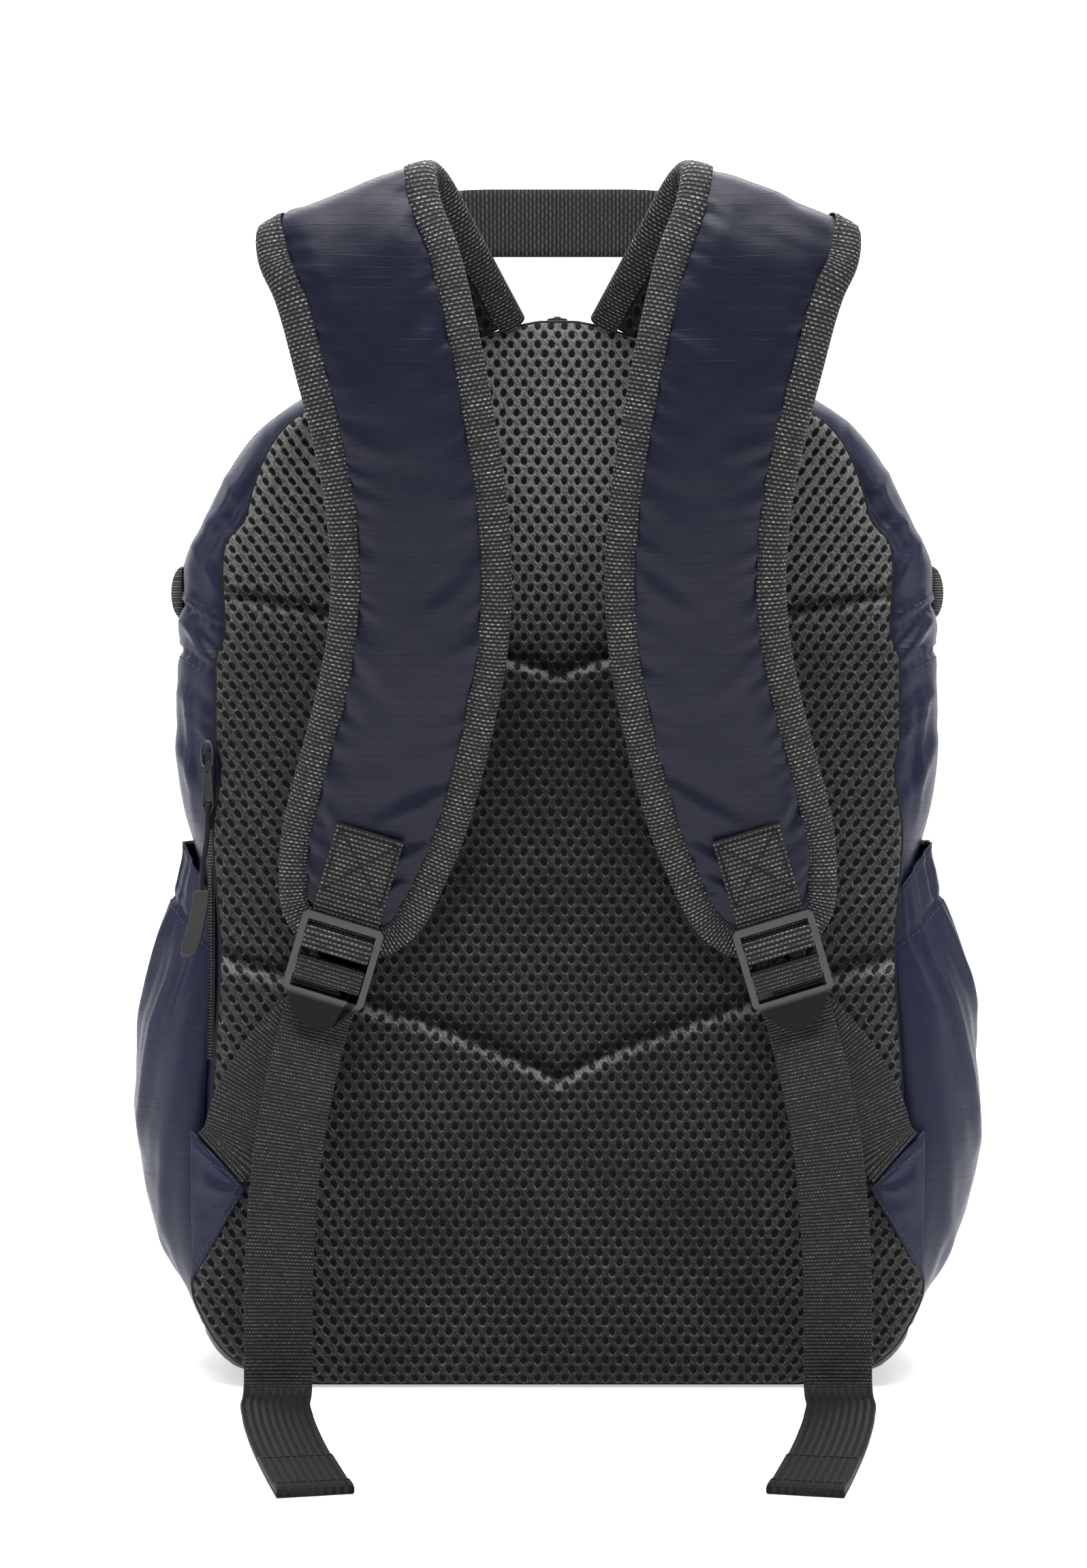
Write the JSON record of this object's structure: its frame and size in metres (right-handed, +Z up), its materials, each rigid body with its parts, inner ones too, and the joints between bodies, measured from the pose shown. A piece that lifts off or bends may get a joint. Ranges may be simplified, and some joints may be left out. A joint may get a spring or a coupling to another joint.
{
  "type": "backpack",
  "caption": "Ripstop day backpack standing on its base, mesh back panel, padded shoulder straps with ladder-lock buckles and trailing webbing, side pockets, grab handle",
  "frame": {"origin": "on the floor, under the middle of the flat base", "axes": "+Z up; the shoulder straps and the mesh back panel face -Y; +X is to the right as the straps are looked at"},
  "size_m": [0.3728, 0.3516, 0.5071],
  "materials": {
    "ripstop": "matte navy ripstop with fine grid lines",
    "air_mesh": "charcoal spacer mesh with oval holes",
    "zip": "black coil zip and tape",
    "dark_metal": "dark grey coated metal",
    "moulded_rubber": "matte black, finely ribbed",
    "grosgrain": "black ribbed tape",
    "edge_tape": "black basket-weave binding",
    "webbing": "black ribbed webbing",
    "satin_plastic": "satin black moulding",
    "braided_cord": "black braided cord"
  },
  "bodies": {
    "root": {"bag_shell": "ripstop", "back_panel": "air_mesh", "main_zip": "zip", "main_zip_slider": "dark_metal", "main_zip_puller": "moulded_rubber", "zip_end_tab_left": "grosgrain", "zip_end_tab_right": "grosgrain", "side_pocket_left": "ripstop", "side_pocket_right": "ripstop", "wing_left": "ripstop", "wing_right": "ripstop", "strap_pad_left": "ripstop", "strap_pad_right": "ripstop", "strap_binding_left": "edge_tape", "strap_binding_right": "edge_tape", "strap_webbing_left": "webbing", "strap_webbing_right": "webbing", "ladder_lock_left": "satin_plastic", "ladder_lock_right": "satin_plastic", "lower_webbing_left": "webbing", "lower_webbing_right": "webbing", "grab_handle": "webbing", "side_zip": "zip", "side_zip_slider": "dark_metal", "side_zip_puller": "dark_metal", "zip_cord": "braided_cord", "zip_cord_end": "moulded_rubber"}
  },
  "joints": []
}
